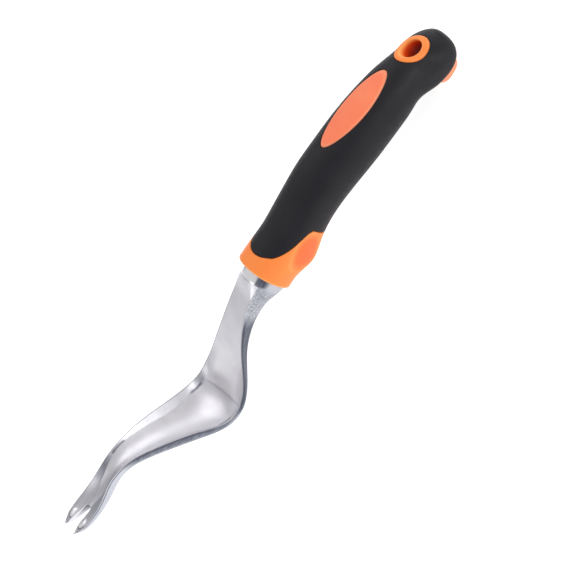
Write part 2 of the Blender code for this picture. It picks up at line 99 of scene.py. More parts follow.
# Parts of the blade with a crease between wall and floor, grooved and with painted shade in it: start, end,
# softness, strength
CREASE_SPANS = ((-84.0, -79.5, 1.5, 0.8), (-126.0, -119.0, 2.0, 0.8), (-160.0, -128.0, 4.0, 0.25))
CREASE_WIDTH = 0.45
CREASE_DEPTH = 0.35
CORNER_RISE = 0.87
# Painted shade in a thin line along the inside of the rim, fading out near the collar
BRINK_TONE = 0.42
BRINK_WIDTH = 0.3
# In front of the collar, so towards -x
BRINK_BEGINS = (9.0, 18.0)
# Spans along x, as start, end and softness, that get painted shade or as-cast mottling
BLADE_SPAN = (-118.0, -90.0, 12.0)
HEEL_SPAN = (-82.0, -68.0, 6.0)
NECK_SPAN = (-66.0, -34.0, 12.0)
CAST_SPAN = (-54.0, -9.0, 6.0)
PRONG_SPAN = (-172.0, -138.0, 12.0)
# Bands of the flank, as shares of the way down from the rim
BLADE_FADE = (0.3, 0.7)
HEEL_FADE = (0.5, 0.9)
NECK_BAND = (0.10, 0.7, 0.15)
CAST_BAND = (0.06, 0.95, 0.1)
BLADE_SHADE = 0.95
HEEL_SHADE = 0.5
NECK_SHADE = 1.3
WALL_SHADE = 0.24
PRONG_SHADE = 0.14
FLOOR_LIGHTER = 0.22
FLOOR_LIGHTER_BEGINS = (-150.0, -126.0)
INSIDE_SHADE_ENDS = (-70.0, -56.0)
RIM_LAND = 0.35
UNDERSIDE_POWER = 2.3
POINT_SPACING = 1.8
BOSS_RADIUS = 12.2
BOSS_Z = 29.0
BOSS_END_X = 7.0
BOSS_BLEND_X = -16.0
NOTCH_APEX_X = -158.2
NOTCH_APEX_RADIUS = 2.0
NOTCH_HALF_MOUTH = 4.3
NOTCH_FLARE_Z = 51.0
NOTCH_FLARE = 0.06
# Painted shade on the notch's walls
NOTCH_TONE = 0.9
NOTCH_LOW_Z = 30.0
NOTCH_HIGH_Z = 60.0
# Heights of the cutter's inner rings, whose points carry the notch's painted shade
NOTCH_LEVELS = np.arange(40.0, 54.0, 0.5)
NOTCH_OVERSHOOT = 6.0
NOTCH_ARC_POINTS = 25
HEEL_X = -74.3
HEEL_SKEW = 0.155
HEEL_STEP = 0.4
# Where things at the heel begin or end: distances past its line, and from the middle for SIDE
HEEL_STEP_EDGE = (-0.6, 0.4)
HEEL_STEP_BEGINS = (-12.0, -1.0)
HEEL_STEP_SIDE = (14.5, 17.5)
# Painted shade along the heel's step
HEEL_TONE = 0.28
HEEL_TONE_WIDTH = 0.9
HEEL_TONE_SIDE = (15.5, 18.5)
# Painted light on the fold beside the heel
FOLD_BEGINS = (-1.0, 3.0)
FOLD_ENDS = (10.0, 28.0)
FOLD_SIDE = (9.0, 14.0)
FACET_X = -166.9
FACET_Y = 4.8
FACET_HALF_LENGTH = 3.0
FACET_HALF_WIDTH = 1.9
FACET_RISE = 0.3
# Painted shade in a thin line round each facet
FACET_OUTLINE = 1.12
FACET_OUTLINE_WIDTH = 0.15
# In front of the collar, so towards -x
FACET_OUTLINE_BEGINS = (165.0, 167.5)
FACET_EDGE = (0.8, 1.0)
BEVEL_X = -169.2
BEVEL_DEPTH = 0.9
BEVEL_SHARE = 0.5
NAIL_LENGTH = 6.1
NAIL_HALF_WIDTH = 10.9
NAIL_RISE = 0.12
NAIL_START_X = -12.0
NAIL_POWER = 5
NAIL_EDGE = (0.8, 1.15)
NAIL_FOOT = (1.0, 3.0)
NAIL_SIDE = (5.6, 7.2)
# Strength of the painted shade that outlines the facets and the nail
OUTLINE_TONE = 0.8

# Handle: x, height of the top, height of the underside, half-width
HANDLE_STATIONS = (
    (0.0, 45.6, 15.4, 15.0),
    (8.0, 45.2, 14.8, 15.0),
    (14.0, 44.6, 12.5, 15.3),
    (19.0, 44.1, 11.0, 15.5),
    (25.0, 44.0, 11.9, 15.3),
    (33.0, 44.6, 14.3, 14.9),
    (45.0, 45.6, 15.8, 14.6),
    (58.0, 45.9, 15.3, 15.1),
    (72.0, 44.6, 13.3, 15.6),
    (86.0, 42.9, 11.2, 15.9),
    (100.0, 40.5, 9.5, 15.6),
    (113.0, 37.3, 8.2, 14.7),
    (122.0, 34.5, 7.6, 13.9),
    (129.0, 32.3, 4.2, 13.6),
    (135.0, 29.9, 2.9, 13.5),
    (142.0, 26.4, 2.6, 14.3),
    (151.5, 19.0, 2.6, 15.6),
)
SECTION_POWER = 2.1
TAIL_ROUND_X = 136.0
TAIL_TOP_DOME = 3.0
TAIL_BASE_DOME = 2.2
TAIL_PLAN_DOME = 2.3
TAIL_Z = 12.0
TAIL_CHANGE_START_X = 116.0
TAIL_CHANGE_END_X = 138.0
TAIL_WAIST = 0.35
TAIL_TOP_POWER = 1.9
TAIL_BASE_POWER = 3.4

GRIP_LINE_TOP = 8.5
ARCH_SWEEP = 9.5
WING_SWEEP = 17.2
WING_START_ANGLE = 38.0
WING_END_ANGLE = 89.0
GRIP_LINE_RADIUS = 14.0
SLOPE_STEP = 0.01
GRIP_THICKNESS = 3.0
CORE_END_X = 122.0

PAD_FRONT_X = 74.6
PAD_REAR_X = 123.8
PAD_HALF_WIDTH = 8.3
PAD_SKEW = 1.05
PAD_FULLNESS = 0.48

HOLE_X = 139.2
HOLE_RADIUS = 5.2
BUSH_RADIUS = 8.2
BUSH_SIDES = 96
FOOT_X = 138.0
FOOT_HALF_LENGTH = 9.0
FOOT_HALF_WIDTH = 11.4
FOOT_POWER = 2.8
FOOT_TAPER = 0.93


# ---------------------------------------------------------------- curves

def spline(knots, values):
    """Function for the natural cubic spline through the knots; it takes arrays."""
    knots = np.array(knots, float)
    values = np.array(values, float)
    width = np.diff(knots)
    count = len(knots)
    matrix = np.eye(count)
    right = np.zeros(count)
    for i in range(1, count - 1):
        matrix[i, i - 1:i + 2] = (width[i - 1], 2 * (width[i - 1] + width[i]), width[i])
        rise = (values[i + 1] - values[i]) / width[i] - (values[i] - values[i - 1]) / width[i - 1]
        right[i] = 6 * rise
    curve = np.linalg.solve(matrix, right)

    def value(x):
        x = np.clip(x, knots[0], knots[-1])
        i = np.clip(np.searchsorted(knots, x, side="right") - 1, 0, count - 2)
        left = (knots[i + 1] - x) / width[i]
        rest = 1 - left
        bend = (left ** 3 - left) * curve[i] + (rest ** 3 - rest) * curve[i + 1]
        return left * values[i] + rest * values[i + 1] + bend * width[i] ** 2 / 6

    return value


def smooth_step(x, start, end):
    """Rise smoothly from 0 at start to 1 at end."""
    t = np.clip((x - start) / (end - start), 0.0, 1.0)
    return t * t * (3 - 2 * t)


def window(x, start, end, soft):
    """1 between start and end, falling smoothly to 0 over soft on both sides."""
    return smooth_step(x, start - soft, start) * (1 - smooth_step(x, end, end + soft))


def bell(x, width):
    """Bell curve of height 1."""
    return np.exp(-(x / width) ** 2)


def full_turn(sides):
    """Evenly spaced angles of one turn."""
    return 2 * math.pi * np.arange(sides) / sides


def quarter_turn(steps):
    """Evenly spaced angles of a quarter turn, with both its ends."""
    return np.linspace(0, 1, steps + 1) * math.pi / 2


def columns(table):
    """Splines of a table's columns against its first one."""
    cols = list(zip(*table))
    return [spline(cols[0], col) for col in cols[1:]]


rim_z, rim_half, head_depth, scoop_depth, flank_bow = columns(HEAD_STATIONS)
handle_top, handle_bottom, handle_half = columns(HANDLE_STATIONS)
crease_share, = columns(CREASE_STATIONS)
lip_drop, lip_width = columns(LIP_STATIONS)


# ---------------------------------------------------------------- meshes

def place(points):
    """Points of the tool's frame, in millimetres, as points of the row frame, in metres."""
    return np.asarray(points, float) * MM + (COLLAR_X, 0.0, 0.0)


# Edges sharper than this many degrees are kept crisp: in general, then on single pieces
SHARP = 40.0
PAD_SHARP = 70.0
BUSH_SHARP = 60.0
TAIL_PAD_SHARP = 60.0


def build(name, points, faces, sharp=SHARP):
    """Object in the row frame from points in millimetres."""
    mesh = bpy.data.meshes.new(name)
    mesh.from_pydata(place(points).tolist(), [], faces)
    mesh.validate()
    bm = bmesh.new()
    bm.from_mesh(mesh)
    bmesh.ops.recalc_face_normals(bm, faces=bm.faces)
    bm.to_mesh(mesh)
    bm.free()
    finish_shading(mesh, sharp)
    obj = bpy.data.objects.new(name, mesh)
    bpy.context.scene.collection.objects.link(obj)
    return obj


def finish_shading(mesh, sharp):
    """Smooth shading with edges sharper than an angle kept crisp."""
    mesh.shade_smooth()
    mesh.set_sharp_from_angle(angle=math.radians(sharp))


def skin(rings, closed=False):
    """Points and faces of a skin over rings; it has end fans, or joins its ends when closed."""
    rings = np.asarray(rings, float)
    count, around = rings.shape[:2]
    points = rings.reshape(-1, 3)
    faces = []
    for k in range(count if closed else count - 1):
        low = k * around
        high = (k + 1) % count * around
        for i in range(around):
            j = (i + 1) % around
            faces.append((low + i, low + j, high + j, high + i))
    if not closed:
        hubs = [rings[0].mean(axis=0), rings[-1].mean(axis=0)]
        for hub, low in ((len(points), 0), (len(points) + 1, (count - 1) * around)):
            faces += [(low + i, low + (i + 1) % around, hub) for i in range(around)]
        points = np.vstack([points, hubs])
    return points, faces


def ring_at(x, y, z):
    """Ring over the outline (x, y), at one height or at one for each point."""
    return np.stack([x, y, np.broadcast_to(z, x.shape)], axis=1)


def prism(x, y, low, high):
    """Points and faces of an upright prism over the outline (x, y)."""
    return skin([ring_at(x, y, low), ring_at(x, y, high)])


def paint(obj, name, values):
    """Store one number per point for the materials to read."""
    attribute = obj.data.attributes.new(name, "FLOAT", "POINT")
    full = np.zeros(len(obj.data.vertices), np.float32)
    values = np.asarray(values, np.float32).ravel()
    full[:len(values)] = values
    attribute.data.foreach_set("value", full)


def cut(obj, points, faces, tone=0.0):
    """Subtract a closed skin from an object, for good; the cut takes on painted shade of the given tone in
    its crease paint.
    """
    tool = build(obj.name + "_cutter", points, faces)
    paint(tool, "crease", np.full(len(points), tone))
    boolean = obj.modifiers.new("cut", "BOOLEAN")
    boolean.operation = "DIFFERENCE"
    boolean.solver = "MANIFOLD"
    boolean.object = tool
    apply_modifiers(obj)
    bpy.data.objects.remove(tool, do_unlink=True)


def apply_modifiers(obj):
    """Replace the object's mesh by what its modifiers make of it."""
    graph = bpy.context.evaluated_depsgraph_get()
    graph.update()
    mesh = bpy.data.meshes.new_from_object(obj.evaluated_get(graph))
    obj.modifiers.clear()
    obj.data = mesh


def soften(obj, width, angle):
    """Round the edges sharper than an angle, for good."""
    bevel = obj.modifiers.new("soften", "BEVEL")
    bevel.width = width * MM
    bevel.segments = 2
    bevel.limit_method = "ANGLE"
    bevel.angle_limit = math.radians(angle)
    apply_modifiers(obj)


def add_piece(obj, node, material):
    """Hang a finished piece on the frame in place of its CAD node."""
    obj.data.materials.clear()
    obj.data.materials.append(material)
    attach(obj, "root")
    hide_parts(node)


# ---------------------------------------------------------------- head

# Steps of a half-section along the outside, the scoop's wall and its floor
OUTER = 40
WALL = 12
FLOOR = 12
HEAD_STEP = 0.6
HEAD_SHARP = 60.0


def outer_half(x):
    """Outside of the head at x, from the keel to the rim: half-width, drop from the rim, lip's strength."""
    depth = head_depth(x)
    angle = math.pi / 2 * (1 - np.linspace(0, 1, OUTER + 1)) ** POINT_SPACING
    y = rim_half(x) * np.abs(np.cos(angle)) ** (2 / UNDERSIDE_POWER)
    drop = depth * np.sin(angle) ** (2 / UNDERSIDE_POWER)
    y = y + flank_bow(x) * np.sin(math.pi * drop / depth) ** 2
    lip = bell(drop - lip_drop(x), lip_width(x)) * smooth_step(x, *LIP_BEGINS)
    lip = lip * (1 - smooth_step(x, *LIP_ENDS))
    y = np.maximum(y - LIP_DEPTH * lip, 0.0)
    y[0] = 0.0
    return y, drop, lip


def scoop_half(x):
    """Scoop at x, from the rim to the middle: share of its half-width, dip below the rim, crease."""
    scoop = scoop_depth(x)
    share = crease_share(x)
    corner = scoop * (1 - CORNER_RISE * share ** 2)
    u_wall = 1 - (1 - share) * np.linspace(0, 1, WALL + 1)
    wall = corner * (1 - u_wall) / (1 - share)
    u_floor = share * (1 - np.linspace(0, 1, FLOOR + 1)[1:])
    floor = corner + (scoop - corner) * (1 - (u_floor / share) ** 2)
    u = np.concatenate([u_wall, u_floor])
    crease = sum(strength * window(x, *span) for *span, strength in CREASE_SPANS)
    crease = bell((u - share) * (rim_half(x) - RIM_LAND), CREASE_WIDTH) * crease
    return u, np.concatenate([wall, floor]) + CREASE_DEPTH * crease, crease


def head_half(x):
    """Half-section at x as half-widths and heights over the rim, with the numbers to paint on it."""
    y, drop, lip = outer_half(x)
    u, dip, crease = scoop_half(x)
    inner = rim_half(x) - RIM_LAND
    brink = BRINK_TONE * bell((1 - u) * inner, BRINK_WIDTH) * smooth_step(-x, *BRINK_BEGINS)
    # Painted shade under the lip, in the crease and along the inside of the rim
    tone = np.concatenate([lip, np.maximum(crease, brink)])
    share_down = drop / head_depth(x)
    shade = np.concatenate([flank_shade(x, share_down), inside_shade(x)])
    cast = window(x, *CAST_SPAN) * window(share_down, *CAST_BAND)
    cast = np.concatenate([cast, np.zeros(len(u))])
    paints = {"crease": np.clip(tone, 0, 1), "shade": shade, "cast": cast}
    return np.concatenate([y, u * inner]), np.concatenate([-drop, -dip]), paints


def flank_shade(x, down):
    """How much painted shade the flank gets at x, by share of the way down from the rim."""
    blade = BLADE_SHADE * window(x, *BLADE_SPAN) * (1 - smooth_step(down, *BLADE_FADE))
    heel = HEEL_SHADE * window(x, *HEEL_SPAN) * (1 - smooth_step(down, *HEEL_FADE))
    neck = NECK_SHADE * window(x, *NECK_SPAN) * window(down, *NECK_BAND)
    return blade + heel + neck


def inside_shade(x):
    """How much painted shade the scoop's wall and floor get at x, from the rim to the middle."""
    shade = np.full(WALL + FLOOR + 1, WALL_SHADE + PRONG_SHADE * window(x, *PRONG_SPAN))
    shade[WALL + 1:] -= FLOOR_LIGHTER * smooth_step(x, *FLOOR_LIGHTER_BEGINS)
    return shade * (1 - smooth_step(x, *INSIDE_SHADE_ENDS))


def boss_half():
    """Half-section of the round boss, in head_half's order of points, as (y, height over its axis)."""
    t = 1 - (1 - np.linspace(0, 1, OUTER + 1)) ** POINT_SPACING
    outer = np.radians(-90 + 135 * t)
    inner = np.radians(45 + 45 * (np.arange(WALL + FLOOR + 1) + 1) / (WALL + FLOOR + 1))
    angle = np.concatenate([outer, inner])
    y = BOSS_RADIUS * np.cos(angle)
    z = BOSS_RADIUS * np.sin(angle)
    y[0] = y[-1] = 0.0
    return y, z


def nail(x, y):
    """1 on the polished nail of the boss in front of the collar, 0 off it."""
    along = np.abs(np.minimum(x, 0.0)) / NAIL_LENGTH
    across = np.abs(y) / NAIL_HALF_WIDTH
    return 1 - smooth_step(along ** NAIL_POWER + across ** NAIL_POWER, *NAIL_EDGE)


def facet(x, y):
    """Distance from the middle of a prong's ground facet, 1 at its edge."""
    return np.hypot((x - FACET_X) / FACET_HALF_LENGTH, (np.abs(y) - FACET_Y) / FACET_HALF_WIDTH)


def full_ring(y, n, x, z, tilt):
    """Mirror a half-section and stand it, tilted about Y, at (x, z), with nothing below the ground."""
    ys = np.concatenate([y, -y[-2:0:-1]])
    ns = np.concatenate([n, n[-2:0:-1]])
    ring = np.stack([x - ns * math.sin(tilt), ys, z + ns * math.cos(tilt)], axis=1)
    ring[:, 2] = np.maximum(ring[:, 2], 0.0)
    return ring


def mirror_values(values):
    """Values of a half-section carried round the full ring."""
    return np.concatenate([values, values[-2:0:-1]])


def upper_side():
    """1 on the top of the head's full ring and 0 on its outside, blended below the rim."""
    return mirror_values(np.concatenate([np.zeros(OUTER - 3), (0.3, 0.7), np.ones(WALL + FLOOR + 3)]))


def head_ring(x):
    """Ring of the head at x, and the numbers to paint on its points."""
    blend = float(smooth_step(x, BOSS_BLEND_X, 0.0))
    slope = float(rim_z(x + 1) - rim_z(x - 1)) / 2
    y, n, paints = head_half(x)
    boss_y, boss_z = boss_half()
    y = y + (boss_y - y) * blend
    n = n + (boss_z + BOSS_Z - rim_z(x) - n) * blend
    ring = full_ring(y, n, x, float(rim_z(x)), math.atan(slope) * (1 - blend))
    # Outside of the head, which the metal paints darker and bluer as a painted reflection
    paints["flank"] = np.concatenate([np.ones(OUTER - 1), np.zeros(WALL + FLOOR + 3)])
    paints = {name: mirror_values(values) for name, values in paints.items()}
    paints["crease"] = paints["crease"] * (1 - blend)
    upper = upper_side()
    add_heel(ring, upper, paints)
    add_facets(ring, x, upper, paints)
    add_nail(ring, paints)
    return ring, paints


def add_heel(ring, upper, paints):
    """Step across the heel, where the blade's scoop begins, with a painted shade line along it and painted
    light on the fold beside it.
    """
    aside = np.abs(ring[:, 1])
    past = ring[:, 0] - (HEEL_X - HEEL_SKEW * ring[:, 1])
    step = 1 - smooth_step(past, *HEEL_STEP_EDGE)
    step = step * smooth_step(past, *HEEL_STEP_BEGINS) * (1 - smooth_step(aside, *HEEL_STEP_SIDE))
    ring[:, 2] -= HEEL_STEP * step * upper
    # Painted light on the fold beside the heel
    fold = smooth_step(past, *FOLD_BEGINS) * (1 - smooth_step(past, *FOLD_ENDS))
    paints["fold"] = fold * (1 - smooth_step(aside, *FOLD_SIDE)) * upper
    # Painted shade along the step
    tone = bell(past, HEEL_TONE_WIDTH) * (1 - smooth_step(aside, *HEEL_TONE_SIDE))
    paints["crease"] += HEEL_TONE * tone * upper


def add_facets(ring, x, upper, paints):
    """Ground facet on each prong with a painted highlight and a painted shade outline, and the bevel from
    there to its point.
    """
    r = facet(ring[:, 0], ring[:, 1])
    lens = FACET_RISE * np.sqrt(np.maximum(1 - r ** 2, 0.0))
    bevel = min(BEVEL_DEPTH, BEVEL_SHARE * float(head_depth(x)))
    bevel = bevel * float(smooth_step(-x, -BEVEL_X, -TIP_X))
    ring[:, 2] += (lens - bevel) * upper
    outline = bell(r - FACET_OUTLINE, FACET_OUTLINE_WIDTH)
    outline = outline * smooth_step(-ring[:, 0], *FACET_OUTLINE_BEGINS)
    paints["crease"] = np.clip(paints["crease"] + OUTLINE_TONE * outline * upper, 0, 1)
    # Painted highlight on the facet, which is also polished smoother
    paints["polish_and_highlight"] = (1 - smooth_step(r, *FACET_EDGE)) * upper


def add_nail(ring, paints):
    """Polished nail on the boss, a little proud of the casting, with a painted highlight, a painted shade
    outline and a painted dark reflection on its near side.
    """
    above = smooth_step(ring[:, 2] - BOSS_Z, *NAIL_FOOT)
    on = nail(ring[:, 0], ring[:, 1]) * above * (ring[:, 0] > NAIL_START_X)
    away = (ring[:, 1:] - (0.0, BOSS_Z)) / BOSS_RADIUS
    ring[:, 1:] += away * (NAIL_RISE * on)[:, None]
    # Painted dark reflection on the nail's near side
    side = on * smooth_step(-ring[:, 1], *NAIL_SIDE)
    # Painted shade outlining the nail
    edge = 4 * on * (1 - on)
    paints["crease"] = np.clip(paints["crease"] + OUTLINE_TONE * edge, 0, 1)
    paints["polish_and_highlight"] = np.maximum(paints["polish_and_highlight"], on * (1 - side))
    paints["shade"] = np.maximum(paints["shade"], side)


def make_head(material):
    """Blade, neck and boss in one casting, with the notch cut between the prongs."""
    low, high = ((np.array(corner) - (COLLAR_X, 0, 0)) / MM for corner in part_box("weeder_head"))
    rings, paints = [], []
    for x in np.linspace(TIP_X, 0.0, round(-TIP_X / HEAD_STEP) + 1):
        ring, numbers = head_ring(float(x))
        rings.append(np.clip(ring, low, high))
        paints.append(numbers)
    boss_y, boss_z = boss_half()
    rings.append(full_ring(boss_y, boss_z, BOSS_END_X, BOSS_Z, 0.0))
    obj = build("weeder_head_visual", *skin(rings), HEAD_SHARP)
    for name in paints[0]:
        paint(obj, name, np.array([numbers[name] for numbers in paints]))
    cut(obj, *notch_skin(), NOTCH_TONE)
    finish_shading(obj.data, HEAD_SHARP)
    add_piece(obj, "weeder_head", material)


def notch_skin():
    """Wedge with a round apex between the prongs, flaring downwards."""
    reach = NOTCH_APEX_X - TIP_X
    half_angle = math.atan((NOTCH_HALF_MOUTH - NOTCH_APEX_RADIUS) / reach)
    arc = np.linspace(math.pi / 2 - half_angle, half_angle - math.pi / 2, NOTCH_ARC_POINTS)
    centre = NOTCH_APEX_X - NOTCH_APEX_RADIUS
    x = centre + NOTCH_APEX_RADIUS * np.cos(arc)
    y = NOTCH_APEX_RADIUS * np.sin(arc)
    far_x = TIP_X - NOTCH_OVERSHOOT
    far_y = y[0] + (x[0] - far_x) * math.tan(half_angle)
    x = np.concatenate([[far_x], x, [far_x]])
    y = np.concatenate([[far_y], y, [-far_y]])
    rings = []
    for z in (NOTCH_LOW_Z, *NOTCH_LEVELS, NOTCH_HIGH_Z):
        widen = 1 + NOTCH_FLARE * max(NOTCH_FLARE_Z - z, 0.0)
        rings.append(ring_at(x, y * widen, z))
    return skin(rings)


# ---------------------------------------------------------------- handle surface

def dome(x, power):
    """Shrink of the sections towards the tail."""
    t = np.clip((x - TAIL_ROUND_X) / (TAIL_X - TAIL_ROUND_X), 0.0, 1.0)
    return np.maximum(1 - t ** power, 0.0) ** (1 / power)


def handle_size(x, inset):
    """Height of the widest line at x, and the rise, drop and half-width from it."""
    top = TAIL_Z + (handle_top(x) - TAIL_Z) * dome(x, TAIL_TOP_DOME)
    bottom = TAIL_Z + (handle_bottom(x) - TAIL_Z) * dome(x, TAIL_BASE_DOME)
    share = 0.5 + (TAIL_WAIST - 0.5) * smooth_step(x, TAIL_CHANGE_START_X, TAIL_CHANGE_END_X)
    waist = bottom + (top - bottom) * share
    wide = handle_half(x) * dome(x, TAIL_PLAN_DOME)
    return waist, top - waist - inset, waist - bottom - inset, wide - inset


def section_power(x, tail_power):
    """Squareness of one half of the section at x."""
    change = smooth_step(x, TAIL_CHANGE_START_X, TAIL_CHANGE_END_X)
    return SECTION_POWER + (tail_power - SECTION_POWER) * change


def handle_points(x, angle, inset=0.0):
    """Points on the handle's surface, or under it by inset."""
    x, angle, inset = np.broadcast_arrays(*np.atleast_1d(x, angle, inset))
    waist, rise, drop, wide = handle_size(x, inset)
    c = np.cos(angle)
    s = np.sin(angle)
    tail_power = np.where(s > 0, TAIL_TOP_POWER, TAIL_BASE_POWER)
    power = 2 / section_power(x, tail_power)
    y = wide * np.sign(c) * np.abs(c) ** power
    z = waist + np.where(s > 0, rise, -drop) * np.abs(s) ** power
    return np.stack([x, y, z], axis=-1)


def handle_height(x, y, inset=0.0):
    """Height of the upper surface at (x, y)."""
    waist, rise, _, wide = handle_size(x, inset)
    power = section_power(x, TAIL_TOP_POWER)
    return waist + rise * np.maximum(1 - (np.abs(y) / wide) ** power, 0.0) ** (1 / power)


def handle_base(x, y):
    """Height of the underside at (x, y)."""
    waist, _, drop, wide = handle_size(x, 0.0)
    power = section_power(x, TAIL_BASE_POWER)
    return waist - drop * np.maximum(1 - (np.abs(y) / wide) ** power, 0.0) ** (1 / power)


def from_top(angle):
    """Degrees round the handle from its top."""
    return np.abs((np.degrees(angle) - 90 + 180) % 360 - 180)


def grip_line(angle):
    """x of the line between collar and grip."""
    arch = ARCH_SWEEP * np.sin(np.radians(np.minimum(from_top(angle), 90.0))) ** 2
    wing = WING_SWEEP * smooth_step(from_top(angle), WING_START_ANGLE, WING_END_ANGLE)
    return GRIP_LINE_TOP + arch + wing


def grip_front(angle):
    """x of the grip's front edge, a gap from the collar measured square to the line."""
    step = SLOPE_STEP
    slope = (grip_line(angle + step) - grip_line(angle - step)) / (2 * step * GRIP_LINE_RADIUS)
    return grip_line(angle) + GAP * np.hypot(1, slope)


AROUND = 160
ANGLES = full_turn(AROUND)


# ---------------------------------------------------------------- collar and core

RECESS_X = 23.0
RECESS_ANGLE = 98.0
RECESS_LENGTH = 11.5
RECESS_SPREAD = 32.0
RECESS_DEPTH = 1.3
RECESS_EDGE = (0.6, 1.0)
RIDGE_REACH = 1.05
RIDGE_HEIGHT = 0.1
RIDGE_WIDTH = 0.06
# Width of the painted highlight on the ridge
RIDGE_PAINT_WIDTH = 0.07
RIDGE_ENDS = (80.0, 110.0)
COLLAR_EDGE = 1.2
# Where the painted light on the collar's front rim fades out
COLLAR_EDGE_PAINT = (0.4, 1.5)
COLLAR_LIP = 0.35
COLLAR_STEPS = 64
EDGE_STEPS = 6
LIP_STEPS = 3
CORE_STEPS = 24
# Bore for the boss, from its floor out: x, how much wider than the bore
BORE_PROFILE = ((BOSS_END_X + GAP, 0.0), (4.0, 0.0), (0.5, 0.0), (0.0, 0.5))


def recess(x, angle):
    """Distance from the middle of the finger recess, 1 at its edge."""
    return np.hypot((x - RECESS_X) / RECESS_LENGTH, (from_top(angle) - RECESS_ANGLE) / RECESS_SPREAD)


def collar_ring(x, inset):
    """Ring of the collar's skin with the finger recesses pressed into both sides."""
    r = recess(x, ANGLES)
    dent = RECESS_DEPTH * np.maximum(1 - r ** 2, 0.0) - RIDGE_HEIGHT * bell(r - RIDGE_REACH, RIDGE_WIDTH)
    return handle_points(x, ANGLES, inset + dent)


def bore_rings():
    """Rings of the bore in the collar's front face, from its floor to its chamfered mouth."""
    rings = []
    for x, wider in BORE_PROFILE:
        radius = BOSS_RADIUS + GAP + wider
        rings.append(np.stack([np.full(AROUND, x), radius * np.cos(ANGLES),
                               BOSS_Z + radius * np.sin(ANGLES)], axis=1))
    return rings


def collar_rings():
    """Rings of the collar's outside, from its rolled front rim to its rolled edge at the grip."""
    rings = []
    for turn in quarter_turn(EDGE_STEPS):
        inset = COLLAR_EDGE * (1 - math.sin(turn))
        rings.append(handle_points(COLLAR_EDGE * (1 - math.cos(turn)), ANGLES, inset))
    end = grip_line(ANGLES)
    for t in np.linspace(0, 1, COLLAR_STEPS + 1)[1:]:
        rings.append(collar_ring(COLLAR_EDGE + (end - COLLAR_LIP - COLLAR_EDGE) * t, 0.0))
    for turn in quarter_turn(LIP_STEPS)[1:]:
        inset = COLLAR_LIP * (1 - math.cos(turn))
        rings.append(collar_ring(end - COLLAR_LIP + COLLAR_LIP * math.sin(turn), inset))
    return rings


def core_rings():
    """Rings of the core under the grip, from the collar to the core's end."""
    end = grip_line(ANGLES)
    inset = GRIP_THICKNESS + GAP
    steps = np.linspace(0, 1, CORE_STEPS + 1)
    return [handle_points(end + (CORE_END_X - end) * t, ANGLES, inset) for t in steps]


def make_core(material):
    """Collar with a bored front face and finger recesses, and the core under the grip."""
    rings = np.array(bore_rings() + collar_rings() + core_rings())
    obj = build("handle_core_visual", *skin(rings))
    around = np.broadcast_to(ANGLES, rings.shape[:2])
    reach = recess(rings[..., 0], around)
    # Painted highlight on the ridge round each recess
    ridge = bell(reach - RIDGE_REACH, RIDGE_PAINT_WIDTH)
    # Painted shade in the finger recesses
    paint(obj, "recess", 1 - smooth_step(reach, *RECESS_EDGE))
    paint(obj, "ridge", ridge * (1 - smooth_step(from_top(around), *RIDGE_ENDS)))
    # Painted light on the collar's front rim
    paint(obj, "edge", 1 - smooth_step(rings[..., 0], *COLLAR_EDGE_PAINT))
    add_piece(obj, "handle_core", material)


# ---------------------------------------------------------------- grip, pad, bush

GRIP_ROWS = 220
INNER_ROWS = 24
GRIP_LIP = 0.6
GRIP_LIP_STEPS = 4
TAIL_SPACING = 1.2
GRIP_EDGE = 0.3
GRIP_EDGE_ANGLE = 50.0
HOLE_CUT_SIDES = 72
# Heights between which the cutters of the pad's window and of the hang hole reach
WINDOW_CUT = (25.0, 60.0)
HOLE_CUT = (-20.0, 50.0)
PAD_STEPS = 48
# Thumb pad, from its buried floor's middle out: shares of the outline
PAD_FLOOR_SHARES = (0.05, 0.5, 1.0)
# Thumb pad from its side over its rolled edge: depth below the surface, share of the outline, painted light
PAD_PROFILE = (
    (0.9, 1.0, 1.0), (0.45, 0.998, 1.0), (0.15, 0.985, 1.0), (-0.1, 0.96, 0.7), (-0.28, 0.92, 0.3),
    (-0.35, 0.86, 0.0), (-0.35, 0.76, 0.0), (-0.35, 0.64, 0.0), (-0.35, 0.5, 0.0),
    (-0.35, 0.36, 0.0), (-0.35, 0.2, 0.0), (-0.35, 0.06, 0.0),
)
# Rim of the hang hole's bush, inwards: radius, rise over the surface, painted light
BUSH_PROFILE = (
    (BUSH_RADIUS, -0.5, 0.0), (BUSH_RADIUS - 0.08, 0.2, 0.0), (BUSH_RADIUS - 0.35, 0.55, 0.0),
    (BUSH_RADIUS - 0.8, 0.7, 0.0), (HOLE_RADIUS + 1.2, 0.62, 0.0), (HOLE_RADIUS + 0.7, 0.4, 0.4),
    (HOLE_RADIUS + 0.35, 0.0, 1.0), (HOLE_RADIUS + 0.12, -0.7, 1.0), (HOLE_RADIUS, -1.6, 0.5),
)
# Wall of the hang hole: how far below the surface it starts, its steps, its painted depth, which sets its
# painted shade
BORE_DROP = 1.6
BORE_STEPS = 11
BORE_DEPTHS = (0.1, 1.0)
# Lower edges of the tail pad: radius at the hole or trim at the outline, height
FOOT_MOUTH = ((HOLE_RADIUS, 0.8), (HOLE_RADIUS + 0.25, 0.25), (HOLE_RADIUS + 0.8, 0.0))
FOOT_EDGE = ((0.9, 0.0), (0.3, 0.2), (0.0, 0.8))
FOOT_STEPS = 8


def almond(t, grow):
    """Half-width of the thumb pad's outline at t from 0 (front) to 1 (rear)."""
    return (PAD_HALF_WIDTH + grow) * np.sin(math.pi * t ** PAD_SKEW) ** PAD_FULLNESS


